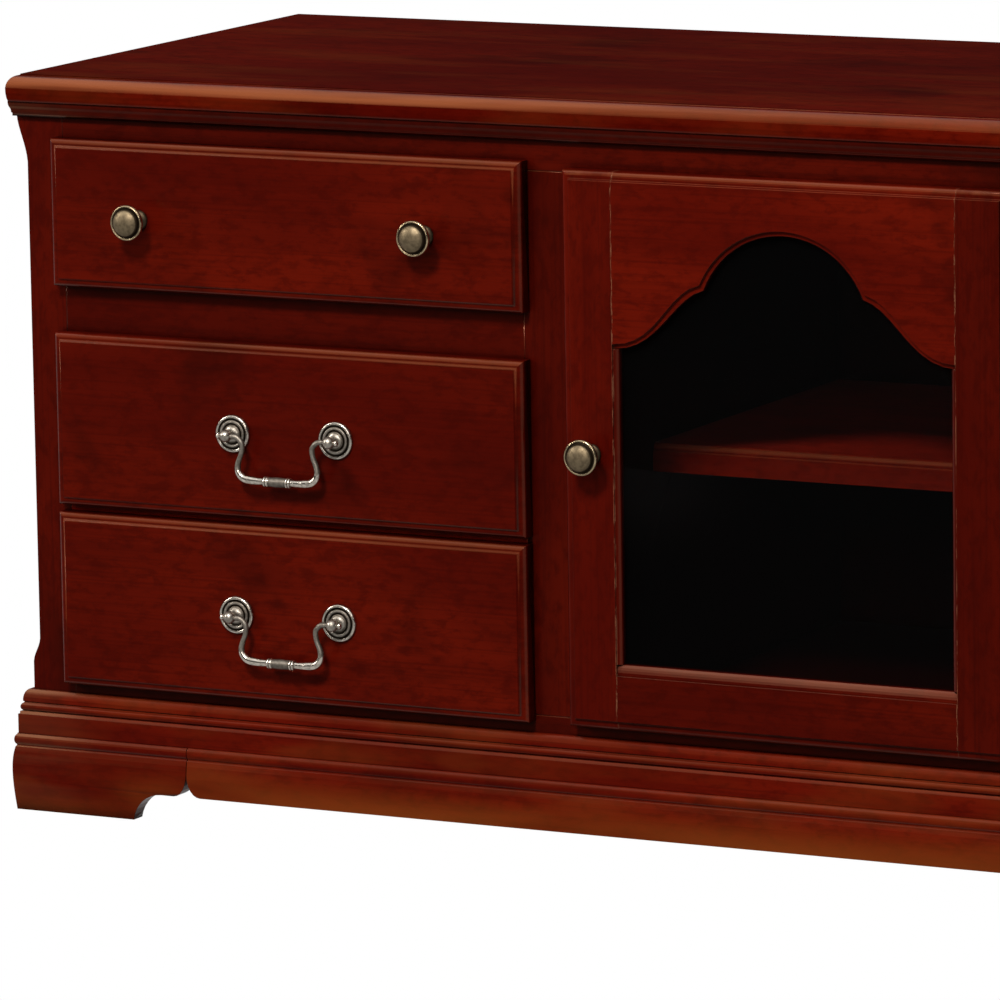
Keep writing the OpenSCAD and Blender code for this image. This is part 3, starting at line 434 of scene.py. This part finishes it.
def add_patina(piece, rule):
    """Keeps on each face of a metal piece how dark its patina is, by a rule for its solid's own box."""
    shape = bmesh.new()
    shape.from_mesh(piece.data)
    layer = shape.faces.layers.float.new("patina")
    for part in loose_parts(shape):
        low, high = box_of(part)
        for face in part:
            face[layer] = rule(face.calc_center_median(), low, high)
    shape.to_mesh(piece.data)
    shape.free()


def dress(node):
    """A smooth-shaded copy of a CAD node in its finish, shown in the node's place."""
    source = frame["nodes"][node]
    piece = bpy.data.objects.new("dressed_" + node, source.data.copy())
    bpy.context.scene.collection.objects.link(piece)
    piece.data.materials.clear()
    smoothed(piece, mitred=SLOTS[node] == "cherry_wood", ease=EASE if node in EASED else 0.0)
    if "knob" in node:
        add_patina(piece, knob_patina)
    elif node.endswith("_bail"):
        add_patina(piece, bail_patina)
    elif node.endswith("_rosettes"):
        add_patina(piece, rosette_patina)
    piece.data.materials.clear()
    finish = "knob_pewter" if "knob" in node else FINISH_OF.get(node) or FINISH_OF_SLOT[SLOTS[node]]
    piece.data.materials.append(FINISHES[finish])
    if node.endswith("_drawer_rails"):
        lighten_thin_rails(piece)
    if node in SECOND_FINISH:
        finish, direction = SECOND_FINISH[node]
        piece.data.materials.append(FINISHES[finish])
        for face in piece.data.polygons:
            face.material_index = 1 if face.normal.dot(Vector(direction)) > 0.9 else 0
    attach(piece, BODIES[node])
    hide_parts(node)
    return piece


for node in SLOTS:
    dress(node)


def tack_heads():
    """Node group that sets a low round head, facing backwards, on every point of a mesh."""
    group = bpy.data.node_groups.new("tack_heads", "GeometryNodeTree")
    group.interface.new_socket("Points", in_out="INPUT", socket_type="NodeSocketGeometry")
    for name, kind in (("Head Radius", "NodeSocketFloat"), ("Head Height", "NodeSocketFloat"),
                       ("Steel", "NodeSocketMaterial")):
        group.interface.new_socket(name, in_out="INPUT", socket_type=kind)
    group.interface.new_socket("Heads", in_out="OUTPUT", socket_type="NodeSocketGeometry")
    given = group.nodes.new("NodeGroupInput").outputs
    result = group.nodes.new("NodeGroupOutput")
    rim = math_node(group, "MULTIPLY", given["Head Radius"], 0.55)
    head = add(group, "GeometryNodeMeshCone", {"Vertices": 12, "Side Segments": 1, "Radius Top": rim,
                                               "Radius Bottom": given["Head Radius"], "Depth": given["Head Height"]})
    backwards = (math.radians(-90.0), 0.0, 0.0)
    placed = add(group, "GeometryNodeInstanceOnPoints", {"Points": given["Points"], "Instance": head.outputs["Mesh"],
                                                         "Rotation": backwards})
    solid = add(group, "GeometryNodeRealizeInstances", {0: placed.outputs[0]})
    steel = add(group, "GeometryNodeSetMaterial", {"Geometry": solid.outputs[0], "Material": given["Steel"]})
    group.links.new(steel.outputs[0], result.inputs["Heads"])
    return group


def rows_of_tacks(low, high, inset=0.009, pitch=0.11):
    """Points round the edge of a back panel, on its outer face."""
    x0, x1, z0, z1 = low.x + inset, high.x - inset, low.z + inset, high.z - inset
    across, up = (max(2, round(length / pitch)) for length in (x1 - x0, z1 - z0))
    spots = [(x0 + (x1 - x0) * i / across, z) for i in range(across + 1) for z in (z0, z1)]
    spots += [(x, z0 + (z1 - z0) * i / up) for i in range(1, up) for x in (x0, x1)]
    return [Vector((x, high.y, z)) for x, z in spots]


def tack_back_panel(node):
    """The tacks that hold a back panel in its rebate."""
    shape = bmesh.new()
    shape.from_mesh(frame["nodes"][node].data)
    bmesh.ops.remove_doubles(shape, verts=shape.verts, dist=MERGE)
    spots = []
    for part in loose_parts(shape):
        spots += rows_of_tacks(*box_of(part))
    shape.free()
    mesh = bpy.data.meshes.new("tack_points")
    mesh.from_pydata(spots, [], [])
    tacks = bpy.data.objects.new("tacks_" + node, mesh)
    bpy.context.scene.collection.objects.link(tacks)
    modifier = tacks.modifiers.new("heads", "NODES")
    modifier.node_group = TACK_HEADS
    values = {"Head Radius": 0.0026, "Head Height": 0.0009, "Steel": FINISHES["plated"]}
    for item in TACK_HEADS.interface.items_tree:
        if item.name in values:
            modifier[item.identifier] = values[item.name]
    settled(tacks)
    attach(tacks, BODIES[node])


TACK_HEADS = tack_heads()
for panel in ("outer_back_panels", "media_back_panel"):
    tack_back_panel(panel)


# ---------------------------------------------------------------- camera, light and setting

def set_camera():
    """The photograph's camera, from the perspective fit."""
    yaw, pitch, roll = 0.478, -0.1698, 0.0158
    turn = Matrix.Rotation(yaw, 3, "Z") @ Matrix.Rotation(pitch, 3, "X") @ Matrix.Rotation(roll, 3, "Y")
    right, forward, up = turn.col
    data = bpy.data.cameras.new("camera")
    data.sensor_width = 36.0
    data.lens = 283.15
    data.clip_start, data.clip_end = 0.1, 100.0
    camera = bpy.data.objects.new("camera", data)
    bpy.context.scene.collection.objects.link(camera)
    axes = Matrix((right, up, -forward)).transposed().to_4x4()
    camera.matrix_world = Matrix.Translation((2.78994, -6.1524, 1.45296)) @ axes
    bpy.context.scene.camera = camera


def soft_box(name, place, aim, size, power, colour=(1.0, 0.96, 0.92)):
    """A rectangular lamp that shines from its place towards its aim."""
    data = bpy.data.lights.new(name, "AREA")
    data.shape = "RECTANGLE"
    data.size, data.size_y = size
    data.energy = power
    data.color = colour
    lamp = bpy.data.objects.new(name, data)
    bpy.context.scene.collection.objects.link(lamp)
    lamp.location = place
    lamp.rotation_mode = "QUATERNION"
    lamp.rotation_quaternion = (Vector(aim) - Vector(place)).to_track_quat("-Z", "Y")


def set_world():
    """White for the camera and through glass, white overhead in mirrors, and a dim room for everything else."""
    world = bpy.data.worlds.new("studio")
    bpy.context.scene.world = world
    world.use_nodes = True
    tree = world.node_tree
    tree.nodes.clear()
    ray = add(tree, "ShaderNodeLightPath").outputs
    seen = math_node(tree, "MAXIMUM", ray["Is Camera Ray"], ray["Is Transmission Ray"])
    direction = add(tree, "ShaderNodeTexCoord").outputs["Generated"]
    height = add(tree, "ShaderNodeSeparateXYZ", {"Vector": direction}).outputs["Z"]
    overhead = mapped(tree, height, 0.42, 0.85, MIRRORED_HORIZON, 1.0)
    mirrored = math_node(tree, "MULTIPLY", ray["Is Glossy Ray"], overhead)
    not_mirrored = math_node(tree, "SUBTRACT", 1.0, ray["Is Glossy Ray"])
    around = math_node(tree, "MULTIPLY", not_mirrored, ROOM_LIGHT)
    strength = math_node(tree, "MAXIMUM", seen, math_node(tree, "ADD", mirrored, around))
    backdrop = add(tree, "ShaderNodeBackground", {"Color": (1.0, 1.0, 1.0, 1.0), "Strength": strength})
    output = add(tree, "ShaderNodeOutputWorld")
    tree.links.new(backdrop.outputs[0], output.inputs["Surface"])


def set_floor():
    """A floor that is plain white to the camera and through glass, paler in mirrors, and dark to other rays."""
    bpy.ops.mesh.primitive_plane_add(size=60.0)
    floor = bpy.context.object
    floor.name = "floor"
    material, tree, shader = new_material("floor")
    shader.inputs["Base Color"].default_value = (0.10, 0.10, 0.10, 1.0)
    shader.inputs["Roughness"].default_value = 0.9
    ray = add(tree, "ShaderNodeLightPath").outputs
    seen = math_node(tree, "MAXIMUM", ray["Is Camera Ray"], ray["Is Transmission Ray"])
    seen = math_node(tree, "MAXIMUM", seen, math_node(tree, "MULTIPLY", ray["Is Glossy Ray"], MIRRORED_FLOOR))
    white = add(tree, "ShaderNodeEmission", {"Color": (1.0, 1.0, 1.0, 1.0), "Strength": 1.0})
    blend = add(tree, "ShaderNodeMixShader", {0: seen, 1: shader.outputs[0], 2: white.outputs[0]})
    output = next(n for n in tree.nodes if n.bl_idname == "ShaderNodeOutputMaterial")
    tree.links.new(blend.outputs[0], output.inputs["Surface"])
    floor.data.materials.append(material)


set_camera()
set_world()
set_floor()
soft_box("key", (-0.1, -3.5, 3.5), (-0.2, -0.2, 0.35), (0.8, 0.8), 195.0)
soft_box("fill", (0.7, -4.2, 1.8), (0.0, -0.1, 0.35), (1.4, 0.8), 32.0)
soft_box("rear", (0.8, 4.5, 0.9), (0.0, 0.2, 0.35), (1.6, 1.0), 60.0)
soft_box("window", (-4.2, -2.4, 2.2), (-0.5, -0.2, 0.35), (0.9, 1.4), 95.0)

scene = bpy.context.scene
scene.view_settings.view_transform = "Standard"
